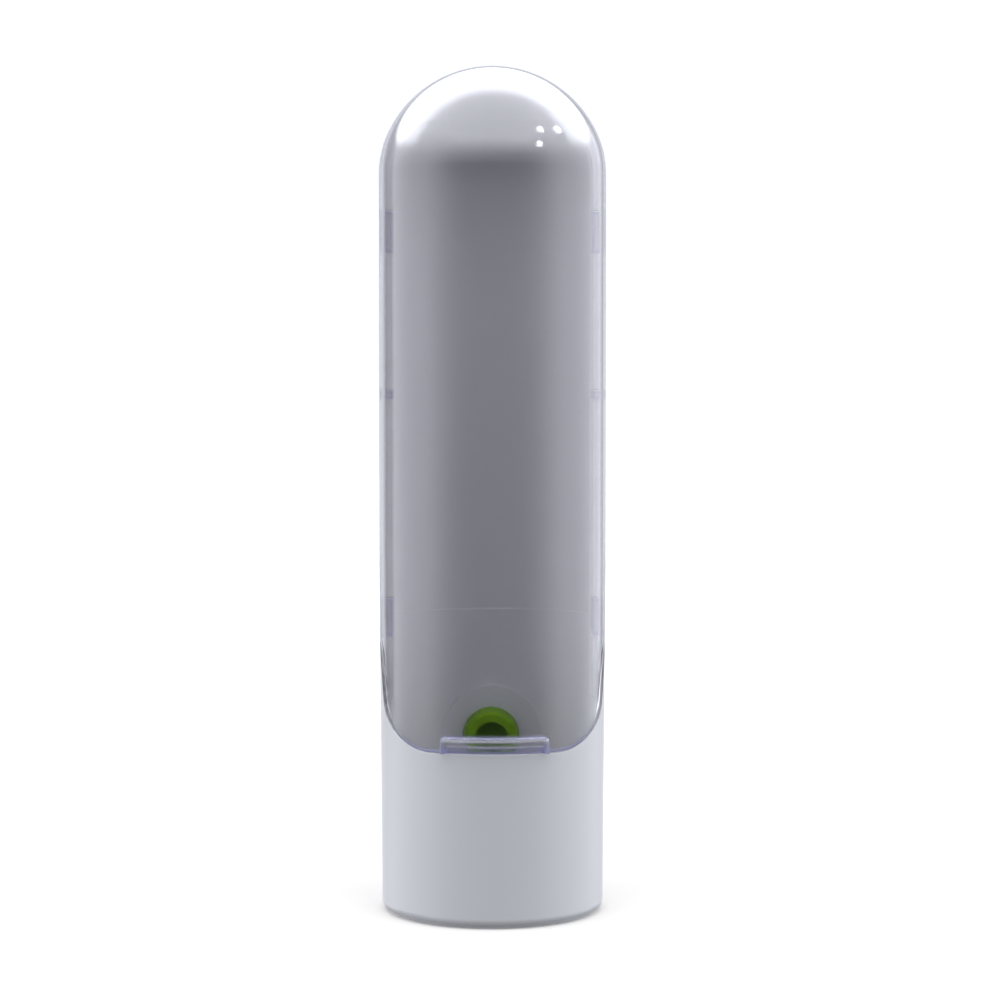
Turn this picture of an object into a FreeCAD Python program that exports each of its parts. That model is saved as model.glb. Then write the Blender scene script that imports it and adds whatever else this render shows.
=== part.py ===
import FreeCAD, Part
import math
import os

import Sketcher

# A herb keeper: an upright capsule that stands in a fridge door. A white moulding makes the water cup at
# the bottom and the back half of the capsule. A clear cover closes the front half and pulls straight off by
# its thumb tab. A silicone plug in the back wall closes the port that the water is poured through.
# Millimetres, +Z up, the front faces -Y, and the origin is the centre of the face that it stands on.

SIZES = {
    # the capsule's outer form
    "overall_height": 245.0,
    "body_radius": 33.0,
    "base_taper": 0.7,
    "taper_top": 100.0,
    "dome_drop": 2.0,  # how much lower the dome is than a half ball
    "shoulder_share": 0.9,
    # the white moulding
    "upper_wall": 2.2,
    "lower_wall": 2.5,
    "wall_step_height": 85.3,
    "base_edge_radius": 2.0,
    "base_edge_gap": 0.8,
    # the front opening, whose sides lean out until they meet the full width
    "rim_height": 49.2,
    "rim_corner_radius": 13.7,
    "side_lean": 4.7,
    "side_top_height": 80.0,
    # the lip that the clear cover closes over
    "lip_thickness": 2.0,
    "lip_front": 3.0,
    "lip_back": 3.0,
    "lip_foot_height": 62.0,
    "lip_clearance": 0.5,
    # the fill port in its round pad in the back wall
    "port_height": 46.9,
    "port_radius": 8.7,
    "pad_radius": 15.2,
    "pad_inset": 6.6,
    "pad_wall": 2.2,
    "recess_radius": 13.0,
    # the floor, welded into the open bottom of the cup
    "floor_seat_wall": 1.8,
    "floor_seat_height": 3.0,
    "floor_clearance": 0.1,
    "floor_edge_chamfer": 0.5,
    "spigot_wall": 1.6,
    "spigot_height": 3.0,
    "floor_ring_radius": 21.0,
    "floor_ring_width": 1.2,
    "floor_ring_depth": 0.5,
    # the clear cover
    "cover_wall": 1.6,
    "seam_gap": 0.2,
    "tab_half_width": 15.3,
    "tab_reach": 2.0,
    "tab_top_height": 53.7,
    "tab_bar_height": 2.4,
    "tab_leg_width": 1.0,
    "tab_edge_share": 0.45,  # how much of the bar's height each of its rounded front edges takes
    # the lugs on the cover that sit in notches in the lip, from the lowest to the highest
    "low_lug_height": 85.5,
    "low_lug_length": 11.0,
    "middle_lug_height": 150.0,
    "middle_lug_length": 2.4,
    "high_lug_height": 197.0,
    "high_lug_length": 12.0,
    "lug_clearance": 0.3,
    "lug_reach": 4.0,
    # the plug
    "plug_clearance": 0.05,
    "plug_taper": 0.55,
    "plug_length": 10.2,
    "plug_straight": 3.2,
    "plug_nose_edge": 1.0,
    "plug_bore_radius": 5.1,
    "plug_bore_depth": 8.6,
    "plug_head_radius": 10.6,
    "plug_head_thickness": 2.0,
    "plug_head_edge": 0.7,
    "grip_width": 14.0,
    "grip_thickness": 3.0,
    "grip_reach": 2.4,
    "grip_edge": 0.8,
}

PAST = 2.0  # how far a cut runs past what it cuts

doc = FreeCAD.newDocument("herb_keeper")
sheet = doc.addObject("Spreadsheet::Sheet", "sizes")
for row, (alias, number) in enumerate(SIZES.items(), start=1):
    sheet.set(f"A{row}", alias)
    sheet.set(f"B{row}", str(number))
    sheet.setAlias(f"B{row}", alias)
doc.recompute()


class Size:
    """A length of the sheet, or a formula of such lengths: its number and the expression that gives it."""

    def __init__(self, number, text):
        self.number = number
        self.text = text

    def __add__(self, other):
        other = as_size(other)
        return Size(self.number + other.number, f"({self.text} + {other.text})")

    def __sub__(self, other):
        other = as_size(other)
        return Size(self.number - other.number, f"({self.text} - {other.text})")

    def __mul__(self, other):
        other = as_size(other)
        return Size(self.number * other.number, f"({self.text} * {other.text})")

    def __truediv__(self, other):
        other = as_size(other)
        return Size(self.number / other.number, f"({self.text} / {other.text})")

    def __neg__(self):
        return Size(-self.number, f"(0 - {self.text})")


def as_size(value):
    return value if isinstance(value, Size) else Size(value, f"{value:.6g}")


def sized(alias):
    return Size(SIZES[alias], f"sizes.{alias}")


def sine(angle):
    return Size(math.sin(math.radians(angle.number)), f"sin({angle.text})")


def cosine(angle):
    return Size(math.cos(math.radians(angle.number)), f"cos({angle.text})")


def arc_sine(value):
    return Size(math.degrees(math.asin(value.number)), f"asin({value.text})")


ORIGIN = as_size(0.0)
height = sized("overall_height")
body_radius = sized("body_radius")
base_radius = body_radius - sized("base_taper")
taper_top = sized("taper_top")
dome_height = body_radius - sized("dome_drop")
equator = height - dome_height
edge_gap = sized("base_edge_gap")

# The dome's outline is two arcs that meet smoothly: the shoulder, upright where it leaves the wall, and the
# crown, level at the top.
shoulder_radius = dome_height * sized("shoulder_share")
shoulder_centre = body_radius - shoulder_radius
crown_radius = (body_radius * body_radius + dome_height * dome_height
                - body_radius * shoulder_radius * 2) / ((dome_height - shoulder_radius) * 2)
crown_centre = height - crown_radius


def outer_radius_at(level):
    """The tapered wall's outer radius at a level below taper_top."""
    return base_radius + (body_radius - base_radius) * level / taper_top


def dome_points(inset):
    """Where the outline inset from the outer form leaves the wall, where its two arcs meet, and its top."""
    share = (crown_radius - inset) / (crown_radius - shoulder_radius)
    meet = (shoulder_centre * share, crown_centre + (equator - crown_centre) * share)
    return (body_radius - inset, equator), meet, (ORIGIN, height - inset)


def dome_edges(inset):
    """The dome's two arcs from the wall to the top, for outline()."""
    wall, meet, top = dome_points(inset)
    return [wall, ("arc", shoulder_radius - inset, 1, meet), ("arc", crown_radius - inset, 1, top)]


def mirrored_dome_edges(inset):
    """The same arcs from the top down to the wall on the other side."""
    wall, meet, top = dome_points(inset)
    return [
        ("arc", crown_radius - inset, 1, (-meet[0], meet[1])),
        ("arc", shoulder_radius - inset, 1, (-wall[0], wall[1])),
    ]


def origin_plane(body, role):
    return next(f for f in body.Origin.OriginFeatures if f.Role == role)


def new_sketch(body, name, plane="XZ_Plane", offset=None):
    """A sketch on one of the body's origin planes, moved along that plane's normal by offset."""
    sketch = body.newObject("Sketcher::SketchObject", name)
    sketch.AttachmentSupport = [(origin_plane(body, plane), "")]
    sketch.MapMode = "FlatFace"
    if offset is not None:
        sketch.setExpression("AttachmentOffset.Base.z", offset.text)
    return sketch


def fix_point(sketch, edge, end, point):
    for kind, value in zip(("DistanceX", "DistanceY"), point):
        index = sketch.addConstraint(Sketcher.Constraint(kind, -1, 1, edge, end, value.number))
        sketch.setExpression(f"Constraints[{index}]", value.text)


def vector(point):
    return FreeCAD.Vector(point[0].number, point[1].number, 0)


def arc_between(start, end, radius, side):
    """The short arc of that radius from start to end, with its centre on the left when side is 1."""
    chord = end - start
    reach = math.sqrt(max(radius * radius - chord.Length ** 2 / 4, 0.0))
    across = FreeCAD.Vector(-chord.y, chord.x, 0).normalize()
    centre = (start + end) / 2 + across * reach * side
    first = math.atan2(start.y - centre.y, start.x - centre.x)
    last = math.atan2(end.y - centre.y, end.x - centre.x)
    if side < 0:
        first, last = last, first
    return Part.ArcOfCircle(Part.Circle(centre, FreeCAD.Vector(0, 0, 1), radius), first, last)


def outline(sketch, steps):
    """Draws a closed outline. A step is a point, reached by a line, or ("arc", radius, side, point)."""
    points = [step if len(step) == 2 else step[3] for step in steps]
    first_edge = sketch.GeometryCount
    for index, step in enumerate(steps):
        start = points[index - 1]
        end = points[index]
        edge = first_edge + index
        if len(step) == 2:
            sketch.addGeometry(Part.LineSegment(vector(start), vector(end)), False)
            fix_point(sketch, edge, 2, end)
            continue
        _, radius, side, _ = step
        sketch.addGeometry(arc_between(vector(start), vector(end), radius.number, side), False)
        fix_point(sketch, edge, 2 if side > 0 else 1, end)
        constraint = sketch.addConstraint(Sketcher.Constraint("Radius", edge, radius.number))
        sketch.setExpression(f"Constraints[{constraint}]", radius.text)
    ends = [(2, 1) if len(step) == 2 or step[2] > 0 else (1, 2) for step in steps]
    for index in range(len(steps)):
        before = first_edge + (index - 1) % len(steps)
        last_end, next_start = ends[index - 1][0], ends[index][1]
        sketch.addConstraint(
            Sketcher.Constraint("Coincident", before, last_end, first_edge + index, next_start)
        )
    return sketch


def rectangle(sketch, left, low, right, high):
    return outline(sketch, [(left, low), (right, low), (right, high), (left, high)])


def circle(sketch, centre, radius):
    edge = sketch.GeometryCount
    sketch.addGeometry(Part.Circle(vector(centre), FreeCAD.Vector(0, 0, 1), radius.number), False)
    fix_point(sketch, edge, 3, centre)
    index = sketch.addConstraint(Sketcher.Constraint("Radius", edge, radius.number))
    sketch.setExpression(f"Constraints[{index}]", radius.text)
    return sketch


def revolved(body, kind, name, sketch, half_angle=None):
    """A Revolution or Groove about the sketch's upright axis: all round, or that angle to each side."""
    feature = body.newObject(f"PartDesign::{kind}", name)
    feature.Profile = sketch
    feature.ReferenceAxis = (sketch, ["V_Axis"])
    feature.Angle = 360.0
    if half_angle is not None:
        feature.Midplane = True
        feature.setExpression("Angle", (half_angle * 2).text)
    sketch.Visibility = False
    return feature


def extruded(body, kind, name, sketch, length=None, backwards=False, both=False, up_to=None):
    """A Pad or Pocket along the sketch's normal or backwards: that long, up to a face, or through all."""
    feature = body.newObject(f"PartDesign::{kind}", name)
    feature.Profile = sketch
    feature.Reversed = backwards if kind == "Pad" else not backwards
    if both:
        feature.SideType = "Symmetric"
    if up_to is not None:
        feature.Type = "UpToFace"
        feature.UpToFace = up_to
    elif length is None:
        feature.Type = "ThroughAll"
    else:
        feature.setExpression("Length", length.text)
    sketch.Visibility = False
    return feature


def face_at(shape, point):
    """The name of the shape's face that is nearest to the point."""
    spot = Part.Vertex(point)
    gaps = [face.distToShape(spot)[0] for face in shape.Faces]
    return f"Face{gaps.index(min(gaps)) + 1}"


def new_body(name):
    body = doc.addObject("PartDesign::Body", name)
    body.Label = name
    return body


def outer_outline(foot):
    """Half of the capsule's outer form, from a level foot on the axis up to the top."""
    edge = sized("base_edge_radius")
    return [(ORIGIN, foot), (base_radius - edge, foot), ("arc", edge, 1, (base_radius, foot + edge)),
            (body_radius, taper_top)] + dome_edges(ORIGIN)


# The front opening, as seen from the front: a level rim, rounded corners, and sides that lean outwards.
side_lean = sized("side_lean")


def front_opening(inset):
    """The inset opening: its rim's level, its corners' radius and half spacing, and its sides' two ends."""
    rim = sized("rim_height") + inset
    corner = sized("rim_corner_radius") - inset
    corner_level = sized("rim_height") + sized("rim_corner_radius")
    lean = sine(side_lean) / cosine(side_lean)
    side = body_radius - (sized("side_top_height") - corner_level) * lean
    centre = side - sized("rim_corner_radius") / cosine(side_lean)
    turn = (centre + corner * cosine(side_lean), corner_level - corner * sine(side_lean))
    wide = turn[0] + (equator - turn[1]) * lean
    return rim, corner, centre, turn, wide


def opening_edges(inset, top):
    """The opening's closed outline, up to a level above the capsule."""
    rim, corner, centre, turn, wide = front_opening(inset)
    return [
        (-wide, top),
        (-wide, equator),
        (-turn[0], turn[1]),
        ("arc", corner, 1, (-centre, rim)),
        (centre, rim),
        ("arc", corner, 1, turn),
        (wide, equator),
        (wide, top),
    ]


# ---------------------------------------------------------------- the places that several pieces share

wall_step = sized("wall_step_height")
upper_wall = sized("upper_wall")
lower_wall = sized("lower_wall")
seat_radius = base_radius - sized("floor_seat_wall")
seat_height = sized("floor_seat_height")
cover_wall = sized("cover_wall")
seam_gap = sized("seam_gap")
lip_inset = cover_wall + sized("lip_clearance")
lip_inner_inset = lip_inset + sized("lip_thickness")
port_height = sized("port_height")
pad_depth = outer_radius_at(port_height) - sized("pad_inset")
recess_depth = pad_depth + sized("pad_wall")
lug_clearance = sized("lug_clearance")
LUGS = ("low_lug", "middle_lug", "high_lug")


def lug_box(name, side, clearance):
    """Left, low, right and high limits of a lug as seen from the front, on side -1 or 1."""
    middle = sized(f"{name}_height")
    reach = sized(f"{name}_length") / 2 + clearance
    inner = body_radius - lip_inner_inset - clearance
    outer = body_radius - cover_wall + lug_clearance - clearance
    if side > 0:
        return inner, middle - reach, outer, middle + reach
    return -outer, middle - reach, -inner, middle + reach


def make_body_shell():
    """The white moulding: cup, back half, dome, lip and fill port. Its bottom is open."""
    body = new_body("body_shell")
    sketch = outline(new_sketch(body, "shell_outer_outline"), outer_outline(edge_gap))
    revolved(body, "Revolution", "shell_outer_form", sketch)

    low_inner = outer_radius_at(seat_height) - lower_wall
    step_outer = outer_radius_at(wall_step)
    below = edge_gap - PAST
    cavity = [
        (ORIGIN, below),
        (seat_radius, below),
        (seat_radius, seat_height),
        (low_inner, seat_height),
        (step_outer - lower_wall, wall_step),
        (step_outer - upper_wall, wall_step),
        (body_radius - upper_wall, taper_top),
    ]
    sketch = outline(new_sketch(body, "cavity_outline"), cavity + dome_edges(upper_wall))
    revolved(body, "Groove", "cavity", sketch)

    sketch = outline(new_sketch(body, "opening_outline"), opening_edges(ORIGIN, height + PAST))
    extruded(body, "Pocket", "front_opening", sketch)

    port_centre = (ORIGIN, port_height)
    opened = body.Tip
    doc.recompute()
    behind_port = FreeCAD.Vector(0, outer_radius_at(port_height).number, port_height.number)
    outer_wall = (opened, [face_at(opened.Shape, behind_port)])
    sketch = circle(new_sketch(body, "pad_outline", offset=-pad_depth), port_centre, sized("pad_radius"))
    extruded(body, "Pad", "port_pad", sketch, backwards=True, up_to=outer_wall)
    sketch = new_sketch(body, "recess_outline", offset=-recess_depth)
    circle(sketch, port_centre, sized("recess_radius"))
    extruded(body, "Pocket", "port_recess", sketch, body_radius, backwards=True)
    sketch = circle(new_sketch(body, "port_outline", offset=-pad_depth), port_centre, sized("port_radius"))
    extruded(body, "Pocket", "fill_port", sketch, body_radius, backwards=True)

    foot = sized("lip_foot_height")
    lip_inner = body_radius - lip_inner_inset
    lip_outer = body_radius - lip_inset
    lip = [(-lip_outer, foot), (-lip_inner, foot)]
    lip += [(-lip_inner, equator)] + lip_crown(lip_inner_inset)
    lip += [(lip_inner, foot), (lip_outer, foot)]
    lip += dome_edges(lip_inset) + mirrored_dome_edges(lip_inset)
    sketch = outline(new_sketch(body, "lip_outline", offset=-sized("lip_back")), lip)
    extruded(body, "Pad", "lip", sketch, sized("lip_front") + sized("lip_back"))

    sketch = new_sketch(body, "notch_outline")
    for name in LUGS:
        for side in (-1, 1):
            rectangle(sketch, *lug_box(name, side, lug_clearance))
    extruded(body, "Pocket", "lug_notches", sketch, sized("lip_front") + PAST)
    return body


def lip_crown(inset):
    """The dome's arcs run over from the left wall to the right one, clockwise."""
    wall, meet, top = dome_points(inset)
    crown = crown_radius - inset
    shoulder = shoulder_radius - inset
    return [
        ("arc", shoulder, -1, (-meet[0], meet[1])),
        ("arc", crown, -1, top),
        ("arc", crown, -1, meet),
        ("arc", shoulder, -1, wall),
    ]


def make_base_floor():
    """The floor disc that closes the cup. It stands a little below the wall and carries the keeper."""
    body = new_body("base_floor")
    radius = seat_radius - sized("floor_clearance")
    chamfer = sized("floor_edge_chamfer")
    spigot = outer_radius_at(seat_height) - lower_wall - sized("floor_clearance")
    spigot_top = seat_height + sized("spigot_height")
    inside = spigot - sized("spigot_wall")
    profile = [
        (ORIGIN, ORIGIN),
        (radius - chamfer, ORIGIN),
        (radius, chamfer),
        (radius, seat_height),
        (spigot, seat_height),
        (spigot, spigot_top),
        (inside, spigot_top),
        (inside, seat_height),
        (ORIGIN, seat_height),
    ]
    revolved(body, "Revolution", "floor_disc", outline(new_sketch(body, "floor_outline"), profile))
    ring = sized("floor_ring_radius")
    sketch = rectangle(new_sketch(body, "ring_outline"), ring, -as_size(PAST),
                       ring + sized("floor_ring_width"), sized("floor_ring_depth"))
    revolved(body, "Groove", "foot_ring", sketch)
    return body


def make_front_cover():
    """The clear front half, with its thumb tab and the lugs that sit in the lip's notches."""
    body = new_body("front_cover")
    rim = sized("rim_height")
    foot = rim - PAST
    profile = [(ORIGIN, foot), (outer_radius_at(foot), foot), (body_radius, taper_top)] + dome_edges(ORIGIN)
    sketch = outline(new_sketch(body, "cover_outer_outline", "YZ_Plane"), profile)
    revolved(body, "Revolution", "cover_outer_form", sketch)

    below = foot - PAST
    profile = [
        (ORIGIN, below),
        (outer_radius_at(below) - cover_wall, below),
        (body_radius - cover_wall, taper_top),
    ]
    sketch = outline(new_sketch(body, "cover_inner_outline", "YZ_Plane"), profile + dome_edges(cover_wall))
    revolved(body, "Groove", "cover_hollow", sketch)

    past = body_radius + PAST
    sketch = new_sketch(body, "back_half_outline", offset=seam_gap)
    rectangle(sketch, -past, below, past, height + PAST)
    extruded(body, "Pocket", "back_half", sketch, past + seam_gap, backwards=True)

    rim_level, corner, centre, turn, wide = front_opening(seam_gap)
    foot_edges = [
        (-wide, below),
        (wide, below),
        (wide, equator),
        turn,
        ("arc", corner, -1, (centre, rim_level)),
        (-centre, rim_level),
        ("arc", corner, -1, (-turn[0], turn[1])),
        (-wide, equator),
    ]
    sketch = outline(new_sketch(body, "cover_foot_outline"), foot_edges)
    extruded(body, "Pocket", "cover_foot", sketch)

    tab_top = sized("tab_top_height")
    bar_height = sized("tab_bar_height")
    bar_low = tab_top - bar_height
    tab_outer = body_radius + sized("tab_reach")
    wall_outer = outer_radius_at(bar_low)
    half_width = sized("tab_half_width")
    bar_edge = bar_height * sized("tab_edge_share")
    root = cover_wall / 2 - wall_outer
    profile = [
        (-tab_outer, rim_level),
        (root, rim_level),
        (root, tab_top),
        (bar_edge - tab_outer, tab_top),
        ("arc", bar_edge, 1, (-tab_outer, tab_top - bar_edge)),
    ]
    sketch = outline(new_sketch(body, "tab_outline", "YZ_Plane"), profile)
    revolved(body, "Revolution", "thumb_tab", sketch, arc_sine(half_width / tab_outer))
    past_tab = tab_outer + PAST
    profile = [
        (-past_tab, rim_level - PAST),
        (-wall_outer, rim_level - PAST),
        (-wall_outer, bar_low),
        (bar_edge - tab_outer, bar_low),
        ("arc", bar_edge, -1, (-tab_outer, bar_low + bar_edge)),
        (-past_tab, bar_low + bar_edge),
    ]
    sketch = outline(new_sketch(body, "tab_hollow_outline", "YZ_Plane"), profile)
    between_legs = half_width - sized("tab_leg_width")
    revolved(body, "Groove", "tab_hollow", sketch, arc_sine(between_legs / tab_outer))

    sketch = new_sketch(body, "lug_outline", offset=seam_gap)
    for name in LUGS:
        for side in (-1, 1):
            rectangle(sketch, *lug_box(name, side, ORIGIN))
    extruded(body, "Pad", "lugs", sketch, sized("lug_reach"))
    return body


def make_fill_plug():
    """The hollow stopper. Its own axis is Z, with the head's seat at zero and the nose at the bottom."""
    body = new_body("fill_plug")
    shank = sized("port_radius") - sized("plug_clearance")
    nose = shank - sized("plug_taper")
    nose_edge = sized("plug_nose_edge")
    nose_low = -sized("plug_length")
    head = sized("plug_head_radius")
    head_edge = sized("plug_head_edge")
    head_top = sized("plug_head_thickness")
    profile = [
        (ORIGIN, nose_low),
        (nose - nose_edge, nose_low),
        ("arc", nose_edge, 1, (nose, nose_low + nose_edge)),
        (shank, -sized("plug_straight")),
        (shank, ORIGIN),
        (head, ORIGIN),
        (head, head_top - head_edge),
        ("arc", head_edge, 1, (head - head_edge, head_top)),
        (ORIGIN, head_top),
    ]
    revolved(body, "Revolution", "plug_form", outline(new_sketch(body, "plug_outline"), profile))
    sketch = circle(new_sketch(body, "bore_outline", "XY_Plane", nose_low), (ORIGIN, ORIGIN),
                    sized("plug_bore_radius"))
    extruded(body, "Pocket", "plug_bore", sketch, sized("plug_bore_depth"))
    half_width = sized("grip_width") / 2
    half_thickness = sized("grip_thickness") / 2
    edge = sized("grip_edge")
    grip_top = head_top + sized("grip_reach")
    grip = [
        (-half_width, head_top - head_edge),
        (half_width, head_top - head_edge),
        (half_width, grip_top - edge),
        ("arc", edge, 1, (half_width - edge, grip_top)),
        (edge - half_width, grip_top),
        ("arc", edge, 1, (-half_width, grip_top - edge)),
    ]
    sketch = outline(new_sketch(body, "grip_outline"), grip)
    extruded(body, "Pad", "grip", sketch, half_thickness * 2, both=True)
    body.Placement.Rotation = FreeCAD.Rotation(FreeCAD.Vector(1, 0, 0), -90)
    body.setExpression("Placement.Base.y", recess_depth.text)
    body.setExpression("Placement.Base.z", port_height.text)
    return body


def failed_objects():
    return [f"{o.Name} {o.State}" for o in doc.Objects if "Invalid" in o.State or "Error" in o.State]


def main():
    bodies = [make_body_shell(), make_base_floor(), make_front_cover(), make_fill_plug()]
    doc.recompute()
    problems = failed_objects()
    for body in bodies:
        if body.Shape.isNull() or not body.Shape.isValid() or len(body.Shape.Solids) != 1:
            problems.append(f"{body.Label} isn't one valid solid")
    if problems:
        raise SystemExit("; ".join(problems))
    os.makedirs("parts", exist_ok=True)
    for body in bodies:
        body.Shape.exportStep(f"parts/{body.Label}.step")
        print(body.Label, round(body.Shape.Volume, 1), body.Shape.optimalBoundingBox(False, False))


main()
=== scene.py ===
import math

import bpy
from mathutils import Euler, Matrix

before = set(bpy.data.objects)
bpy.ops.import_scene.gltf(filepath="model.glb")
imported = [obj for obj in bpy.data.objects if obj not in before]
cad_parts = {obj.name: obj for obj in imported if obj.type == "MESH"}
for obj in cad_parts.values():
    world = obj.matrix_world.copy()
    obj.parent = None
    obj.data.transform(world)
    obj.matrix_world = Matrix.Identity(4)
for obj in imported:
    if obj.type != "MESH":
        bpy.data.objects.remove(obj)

MM = 0.001

# The camera stands a little to the left of the keeper's front, at about the middle of its height.
FRAME_SIDE = 1000  # pixels
FOCAL_LENGTH = 2300  # pixels
AXIS_OFFSET = -7.5  # pixels from the frame's middle to the keeper's axis
SENSOR_SIDE = 36.0  # millimetres
NEAR_CLIP = 10 * MM
CAMERA_DISTANCE = 671 * MM
CAMERA_HEIGHT = 141 * MM
CAMERA_AZIMUTH = math.radians(1.0)
CAMERA_PITCH = math.radians(1.85)
LIGHT_BOUNCES = 16

# The keeper stands in a white tent that is open towards the camera. The light in it goes by direction, and a
# direction has three parts from -1 to 1: across (to the right), along (away from the camera) and up. Where
# two numbers are marked with one of these, one light turns smoothly into another between them.
LIGHT_COLOUR = (0.96, 0.985, 1.04, 1.0)
FRONT_LIGHT = 0.02
FRONT_TO_SIDE = (-0.93, -0.22)  # along
SIDE_LIGHT = 1.85
SIDE_TO_BACK = (0.55, 0.95)  # along
BACK_LIGHT = 0.65
DOWN_LIGHT = 0.27
DOWN_TO_LEVEL = (-0.5, -0.05)  # up

# How bright a reflection shows the tent's walls, on the left and on the right, as a multiple of the light
# that they give. The same goes for CARD_SHINE and BEHIND_SHINE.
SIDE_SHINE = (0.92, 0.95)
LEFT_TO_RIGHT = (-0.3, 0.3)  # across
# Two grey cards stand behind the keeper, a wide one on the left (-1) and a narrow one on the right (1), each
# with the part of along that it covers. They show as darker lines up the clear cover's edges.
CARDS = ((-1, 0.52, 0.87), (1, 0.81, 0.90))
CARD_EDGE = 0.045
CARD_FOOT = (-0.15, -0.12)  # up
CARD_SHINE = 0.38
# The wall straight behind the keeper shows in its outermost edges: below the cards' feet, and above them.
BEHIND_SHINE = (2.8, 1.35)
SIDE_TO_BEHIND = (0.88, 0.96)  # along

# The roof, and two lamps under it, one in front of the keeper and one over and behind it. A strength is the
# light that each gives, and how bright it looks in a reflection.
ROOF_STRENGTH = (0.25, 4.8)
WALL_TO_ROOF = (0.05, 0.72)  # up
ROOF_TO_BACK = (0.3, 0.75)  # along
# The lamps' own edges are given by how far they lie from the point overhead, for a roof at a height of 1.
FRONT_LAMP = {"strength": (1.85, 4.8), "front": (-1.6, -1.28), "back": (0.0, 0.25), "sides": (0.95, 1.2825)}
REAR_LAMP = {"strength": (0.75, 7.0), "front": (0.0, 0.22), "back": (1.2, 2.04), "sides": (1.3, 2.86)}
LEAST_HEIGHT = 0.001  # stands in for up where that is nothing or less

# Three small bulbs up on the right, as directions, which show only in reflections. Their edge is given by the
# cosine of the angle from a bulb's middle.
BULBS = ((0.649, -0.367, 0.666), (0.785, -0.076, 0.615), (0.697, -0.558, 0.450))
BULB_SHINE = 18.0
BULB_EDGE = (0.9975, 0.999)

# The white that the camera sees behind the keeper, and the floor's paint, which takes the light's tint away.
WHITE = 1.05
FLOOR_PAINT = ((1.06, 1.03, 0.98, 1.0), (1.07, 1.04, 0.99, 1.0))
FLOOR_REACH = 6.0  # metres from its middle to each side

# How fine each noise is, in waves to the metre, and how strongly the fine ones raise the surface.
BODY_CLOUDS = 35.0
BODY_PEEL = 900.0
CLEAR_SWIRL = 60.0
SILICONE_CLOUDS = 120.0
SILICONE_GRAIN = 1800.0
FLOOR_GRAIN = 40.0
PEEL_STRENGTH = 0.04
GRAIN_STRENGTH = 0.1
BUMP_HEIGHT = 0.05 * MM

# The white moulding and its floor disc, each with its two shades. Their roughness goes from LEAST_ROUGH to
# MOST_ROUGH times its own figure.
BODY_WHITES = ((0.75, 0.75, 0.775, 1.0), (0.742, 0.742, 0.767, 1.0))
BODY_ROUGHNESS = 0.33
DISC_WHITES = ((0.78, 0.78, 0.81, 1.0), (0.75, 0.75, 0.78, 1.0))
DISC_ROUGHNESS = 0.4
LEAST_ROUGH = 0.9
MOST_ROUGH = 1.1
BODY_IOR = 1.5
BODY_ROUNDING = 0.6 * MM

# The clear cover. Its edges are where a wide rounding of the surface leans away from the face, and its rim is
# where the wall is seen nearly edge on.
CLEAR = (1.0, 1.0, 1.0, 1.0)
CLEAR_ROUGHNESS = (0.0, 0.03)
CLEAR_IOR = 1.49
EDGE_ROUNDING = 0.7 * MM
EDGE_TINT_REACH = 2.2 * MM
EDGE_COLOUR = (0.50, 0.50, 0.82, 1.0)
EDGE_CLARITY = 0.35
EDGE_LEAN = (0.85, 0.995)
RIM_TINT = 0.5
RIM_FACING = (0.7, 0.95)
# What light keeps on its way through the clear plastic's depth.
DEPTH_COLOUR = (0.68, 0.56, 0.95, 1.0)
DEPTH_DENSITY = 30.0

# The plug.
GREENS = ((0.22, 0.45, 0.006, 1.0), (0.195, 0.405, 0.005, 1.0))
SILICONE_ROUGHNESS = (0.42, 0.55)
SILICONE_IOR = 1.41
SILICONE_GLOSS = 0.25


class Graph:
    """A node tree being filled in. An input is named with _ for a space, or numbered as i0, i1 and so on."""

    def __init__(self, tree):
        self.tree = tree
        tree.nodes.clear()

    def add(self, kind, settings=None, **inputs):
        """Make a node, and set its inputs or link them to other nodes' outputs."""
        node = self.tree.nodes.new(kind)
        for name, value in (settings or {}).items():
            setattr(node, name, value)
        for name, value in inputs.items():
            numbered = name[0] == "i" and name[1:].isdigit()
            socket = node.inputs[int(name[1:]) if numbered else name.replace("_", " ")]
            if isinstance(value, bpy.types.NodeSocket):
                self.tree.links.new(value, socket)
            else:
                socket.default_value = value
        return node

    def maths(self, operation, first, second=0.0, clamp=False):
        settings = {"operation": operation, "use_clamp": clamp}
        return self.add("ShaderNodeMath", settings, i0=first, i1=second).outputs[0]

    def product(self, first, *others):
        for other in others:
            first = self.maths("MULTIPLY", first, other)
        return first

    def dot(self, first, second):
        node = self.add("ShaderNodeVectorMath", {"operation": "DOT_PRODUCT"}, i0=first, i1=second)
        return node.outputs["Value"]

    def blend(self, factor, first, second):
        return self.add("ShaderNodeMix", i0=factor, i2=first, i3=second).outputs[0]

    def blend_colours(self, factor, first, second):
        return self.add("ShaderNodeMix", {"data_type": "RGBA"}, i0=factor, i6=first, i7=second).outputs[2]

    def spread(self, value, low, high):
        """A value of 0 to 1 spread over low to high."""
        return self.add("ShaderNodeMapRange", Value=value, To_Min=low, To_Max=high).outputs[0]

    def turn(self, value, edges, start=0.0, end=1.0):
        """start up to the first edge, end from the second one on, and a smooth turn between them."""
        settings = {"interpolation_type": "SMOOTHSTEP"}
        node = self.add("ShaderNodeMapRange", settings, Value=value, From_Min=edges[0], From_Max=edges[1],
                        To_Min=start, To_Max=end)
        return node.outputs[0]

    def noise(self, scale, detail=3.0):
        place = self.add("ShaderNodeTexCoord").outputs["Object"]
        return self.add("ShaderNodeTexNoise", Vector=place, Scale=scale, Detail=detail).outputs["Fac"]

    def bevel(self, radius, samples):
        return self.add("ShaderNodeBevel", {"samples": samples}, Radius=radius).outputs[0]


def new_material(name):
    material = bpy.data.materials.new(name)
    material.use_nodes = True
    return material, Graph(material.node_tree)


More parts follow.
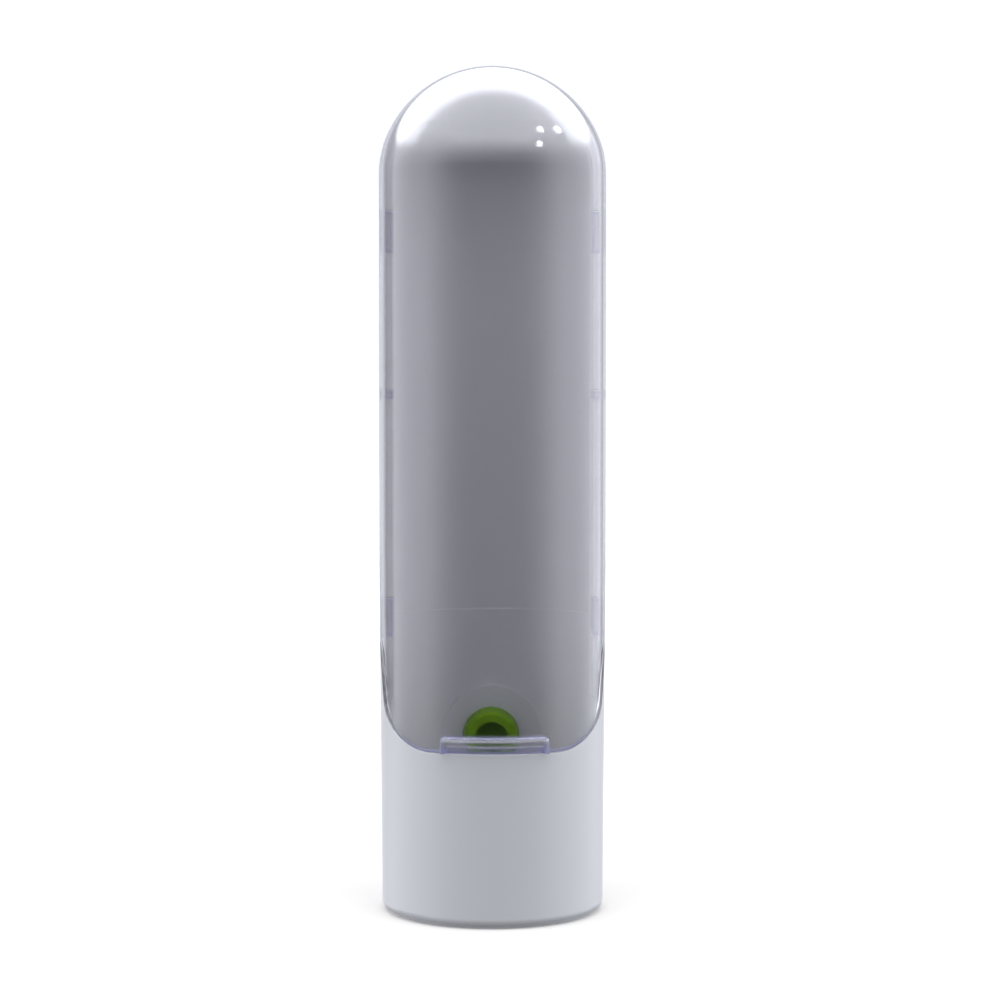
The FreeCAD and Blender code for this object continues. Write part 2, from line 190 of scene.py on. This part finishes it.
def moulded_plastic(name, whites, roughness):
    """White moulded plastic: a faint cloudiness in colour and gloss, and a very fine orange-peel surface."""
    material, graph = new_material(name)
    clouds = graph.noise(BODY_CLOUDS)
    peel = graph.noise(BODY_PEEL, detail=2.0)
    bump = graph.add("ShaderNodeBump", Height=peel, Strength=PEEL_STRENGTH, Distance=BUMP_HEIGHT,
                     Normal=graph.bevel(BODY_ROUNDING, samples=4))
    surface = graph.add(
        "ShaderNodeBsdfPrincipled",
        Base_Color=graph.blend_colours(clouds, *whites),
        Roughness=graph.spread(clouds, roughness * LEAST_ROUGH, roughness * MOST_ROUGH),
        IOR=BODY_IOR,
        Normal=bump.outputs[0],
    )
    graph.add("ShaderNodeOutputMaterial", Surface=surface.outputs[0])
    return material


def clear_plastic(name):
    """Polished clear plastic, lavender along its edges and where its wall is seen edge on."""
    material, graph = new_material(name)
    swirl = graph.noise(CLEAR_SWIRL)
    face = graph.add("ShaderNodeNewGeometry").outputs["Normal"]
    lean = graph.dot(graph.bevel(EDGE_TINT_REACH, samples=6), face)
    edge = graph.turn(graph.maths("ABSOLUTE", lean), EDGE_LEAN, 1.0, 0.0)
    facing = graph.add("ShaderNodeLayerWeight", Blend=0.5).outputs["Facing"]
    rim = graph.turn(facing, RIM_FACING, 0.0, RIM_TINT)
    surface = graph.add(
        "ShaderNodeBsdfPrincipled",
        Base_Color=graph.blend_colours(graph.maths("MAXIMUM", edge, rim), CLEAR, EDGE_COLOUR),
        Roughness=graph.spread(swirl, *CLEAR_ROUGHNESS),
        IOR=CLEAR_IOR,
        Transmission_Weight=graph.spread(edge, 1.0, EDGE_CLARITY),
        Normal=graph.bevel(EDGE_ROUNDING, samples=6),
    )
    depth = graph.add("ShaderNodeVolumeAbsorption", Color=DEPTH_COLOUR, Density=DEPTH_DENSITY)
    graph.add("ShaderNodeOutputMaterial", Surface=surface.outputs[0], Volume=depth.outputs[0])
    return material


def silicone(name):
    """Leaf-green silicone rubber, satin and finely grained."""
    material, graph = new_material(name)
    clouds = graph.noise(SILICONE_CLOUDS)
    grain = graph.noise(SILICONE_GRAIN, detail=2.0)
    bump = graph.add("ShaderNodeBump", Height=grain, Strength=GRAIN_STRENGTH, Distance=BUMP_HEIGHT)
    surface = graph.add(
        "ShaderNodeBsdfPrincipled",
        Base_Color=graph.blend_colours(clouds, *GREENS),
        Roughness=graph.spread(clouds, *SILICONE_ROUGHNESS),
        IOR=SILICONE_IOR,
        Specular_IOR_Level=SILICONE_GLOSS,
        Normal=bump.outputs[0],
    )
    graph.add("ShaderNodeOutputMaterial", Surface=surface.outputs[0])
    return material


def dress(node, material):
    """Put the material in place of the ones that a CAD node comes with."""
    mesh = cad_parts[node].data
    for index in range(len(mesh.materials)):
        mesh.materials[index] = material


def make_camera():
    camera = bpy.data.objects.new("camera", bpy.data.cameras.new("camera"))
    camera.data.sensor_width = SENSOR_SIDE
    camera.data.lens = FOCAL_LENGTH / FRAME_SIDE * SENSOR_SIDE
    camera.data.clip_start = NEAR_CLIP
    camera.location = (
        -CAMERA_DISTANCE * math.sin(CAMERA_AZIMUTH),
        -CAMERA_DISTANCE * math.cos(CAMERA_AZIMUTH),
        CAMERA_HEIGHT,
    )
    yaw = CAMERA_AZIMUTH - math.atan(AXIS_OFFSET / FOCAL_LENGTH)
    camera.rotation_euler = Euler((math.radians(90) - CAMERA_PITCH, 0, -yaw))
    bpy.context.scene.collection.objects.link(camera)
    bpy.context.scene.camera = camera


class Room(Graph):
    """The world's node tree, with the direction that a ray goes in and what has happened to the ray."""

    def __init__(self, tree):
        super().__init__(tree)
        self.direction = self.add("ShaderNodeTexCoord").outputs["Generated"]
        parts = self.add("ShaderNodeSeparateXYZ", Vector=self.direction)
        self.across, self.along, self.up = parts.outputs
        self.path = self.add("ShaderNodeLightPath").outputs
        glossy = self.maths("MINIMUM", self.path["Glossy Depth"], 1.0)
        self.reflected = self.maths("SUBTRACT", glossy, self.path["Diffuse Depth"], clamp=True)

    def strength(self, given, seen):
        """A light's strength: what it gives, or how bright a reflection shows it."""
        return self.blend(self.reflected, given, seen)

    def seen_straight(self):
        """1 for what the camera sees directly or through the clear cover, 0 for light that lights things."""
        rays = (self.path["Is Camera Ray"], self.path["Is Transmission Ray"])
        looking = self.maths("ADD", *rays, clamp=True)
        bounces = self.maths("ADD", self.path["Diffuse Depth"], self.path["Glossy Depth"])
        return self.maths("SUBTRACT", looking, bounces, clamp=True)

    def card(self, side, start, end):
        """1 where a grey card stands."""
        return self.product(
            self.turn(self.along, (start, start + CARD_EDGE)),
            self.turn(self.along, (end - CARD_EDGE, end), 1.0, 0.0),
            self.maths("GREATER_THAN", self.maths("MULTIPLY", self.across, side), 0.0),
            self.turn(self.up, CARD_FOOT),
        )

    def walls(self):
        """The light of the tent's walls, dim in front and bright at the sides."""
        sides = self.turn(self.along, FRONT_TO_SIDE, FRONT_LIGHT, SIDE_LIGHT)
        back = self.turn(self.along, SIDE_TO_BACK, 0.0, BACK_LIGHT - SIDE_LIGHT)
        shine = self.turn(self.across, LEFT_TO_RIGHT, *SIDE_SHINE)
        for card in CARDS:
            shine = self.blend(self.card(*card), shine, CARD_SHINE)
        behind_shine = self.turn(self.up, CARD_FOOT, *BEHIND_SHINE)
        shine = self.blend(self.turn(self.along, SIDE_TO_BEHIND), shine, behind_shine)
        return self.product(self.maths("ADD", sides, back), self.strength(1.0, shine))

    def with_roof(self, light):
        """The roof and the lamps under it, laid over the light of the walls."""
        roof = self.product(self.turn(self.up, WALL_TO_ROOF), self.turn(self.along, ROOF_TO_BACK, 1.0, 0.0))
        light = self.blend(roof, light, self.strength(*ROOF_STRENGTH))
        height = self.maths("MAXIMUM", self.up, LEAST_HEIGHT)
        beside = self.maths("ABSOLUTE", self.maths("DIVIDE", self.across, height))
        behind = self.maths("DIVIDE", self.along, height)
        above = self.maths("GREATER_THAN", self.up, 0.0)
        for lamp in (FRONT_LAMP, REAR_LAMP):
            mask = self.product(
                self.turn(behind, lamp["front"]),
                self.turn(behind, lamp["back"], 1.0, 0.0),
                self.turn(beside, lamp["sides"], 1.0, 0.0),
                above,
            )
            light = self.blend(mask, light, self.strength(*lamp["strength"]))
        return light

    def with_bulbs(self, light):
        for place in BULBS:
            bulb = self.turn(self.dot(self.direction, place), BULB_EDGE, 0.0, BULB_SHINE)
            light = self.maths("ADD", light, self.product(bulb, self.reflected))
        return light


def make_room():
    """Light from all round by direction: dim in front, bright at the sides and above."""
    world = bpy.data.worlds.new("room")
    world.use_nodes = True
    bpy.context.scene.world = world
    room = Room(world.node_tree)
    light = room.with_bulbs(room.with_roof(room.walls()))
    light = room.blend(room.turn(room.up, DOWN_TO_LEVEL, 1.0, 0.0), light, DOWN_LIGHT)
    strength = room.blend(room.seen_straight(), light, WHITE)
    glow = room.add("ShaderNodeBackground", Color=LIGHT_COLOUR, Strength=strength)
    room.add("ShaderNodeOutputWorld", Surface=glow.outputs[0])


def make_floor():
    """A white floor that takes the keeper's shadow. The light it would give back is the room's DOWN_LIGHT."""
    mesh = bpy.data.meshes.new("floor")
    corners = [(x * FLOOR_REACH, y * FLOOR_REACH, 0.0) for x, y in ((-1, -1), (1, -1), (1, 1), (-1, 1))]
    mesh.from_pydata(corners, [], [(0, 1, 2, 3)])
    floor = bpy.data.objects.new("floor", mesh)
    bpy.context.scene.collection.objects.link(floor)
    material, graph = new_material("floor")
    paint = graph.blend_colours(graph.noise(FLOOR_GRAIN), *FLOOR_PAINT)
    surface = graph.add("ShaderNodeBsdfDiffuse", Color=paint)
    graph.add("ShaderNodeOutputMaterial", Surface=surface.outputs[0])
    mesh.materials.append(material)
    floor.visible_diffuse = False
    floor.visible_glossy = False
    floor.visible_transmission = False
    floor.visible_shadow = False


def make_view():
    scene = bpy.context.scene
    scene.view_settings.view_transform = "Standard"
    scene.cycles.max_bounces = LIGHT_BOUNCES
    scene.cycles.transmission_bounces = LIGHT_BOUNCES


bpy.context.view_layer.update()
make_camera()
make_room()
make_floor()
make_view()
dress("body_shell", moulded_plastic("white_body", BODY_WHITES, BODY_ROUGHNESS))
dress("base_floor", moulded_plastic("white_floor", DISC_WHITES, DISC_ROUGHNESS))
dress("front_cover", clear_plastic("clear_cover"))
dress("fill_plug", silicone("green_silicone"))
